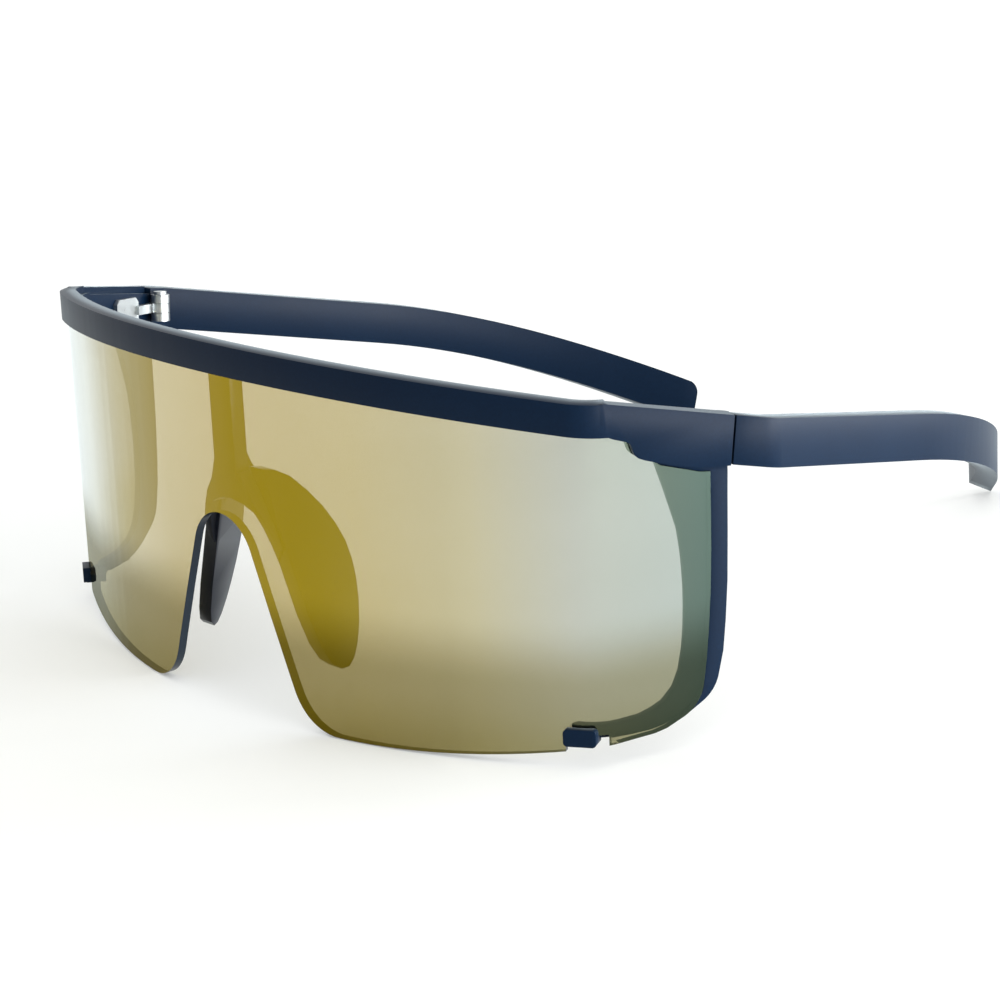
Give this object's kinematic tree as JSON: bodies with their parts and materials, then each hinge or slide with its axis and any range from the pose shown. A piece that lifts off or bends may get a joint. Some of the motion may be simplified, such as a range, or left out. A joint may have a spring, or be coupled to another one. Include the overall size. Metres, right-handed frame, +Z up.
{
  "type": "shield sunglasses",
  "caption": "Wrap-around shield sunglasses: a flat-top brow bar with side arms holds one mirrored lens, a clip-in nose piece and hinged temples that fold behind the lens.",
  "frame": {"origin": "on the table, on the middle plane, below the front of the lens's middle before the lean", "axes": "+X to the right as seen from the front, -Y to the front, +Z up from the table"},
  "size_m": [0.1506, 0.1311, 0.0567],
  "materials": {
    "frame": "satin navy injection-moulded plastic",
    "lens": "tinted see-through lens with a gold mirror coat",
    "nose": "soft matte dark slate blue",
    "hinge": "plain light grey metal"
  },
  "bodies": {
    "front": {"front_frame": "frame", "shield_lens": "lens", "nose_piece": "nose", "hinge_front_leaf_left": "hinge", "hinge_front_leaf_right": "hinge", "hinge_screw_left": "hinge", "hinge_screw_right": "hinge"},
    "left_temple": {"temple_left": "frame", "hinge_temple_leaf_left": "hinge"},
    "right_temple": {"temple_right": "frame", "hinge_temple_leaf_right": "hinge"}
  },
  "joints": [
    {"name": "left_temple_fold", "type": "hinge", "parent": "front", "child": "left_temple", "pos_m": [0.06801, 0.04235, 0.04262], "axis": [0.0418, 0.1965, 0.9796], "range_deg": [0, 83]},
    {"name": "right_temple_fold", "type": "hinge", "parent": "front", "child": "right_temple", "pos_m": [-0.06801, 0.04235, 0.04262], "axis": [0.0418, -0.1965, -0.9796], "range_deg": [0, 66]}
  ]
}
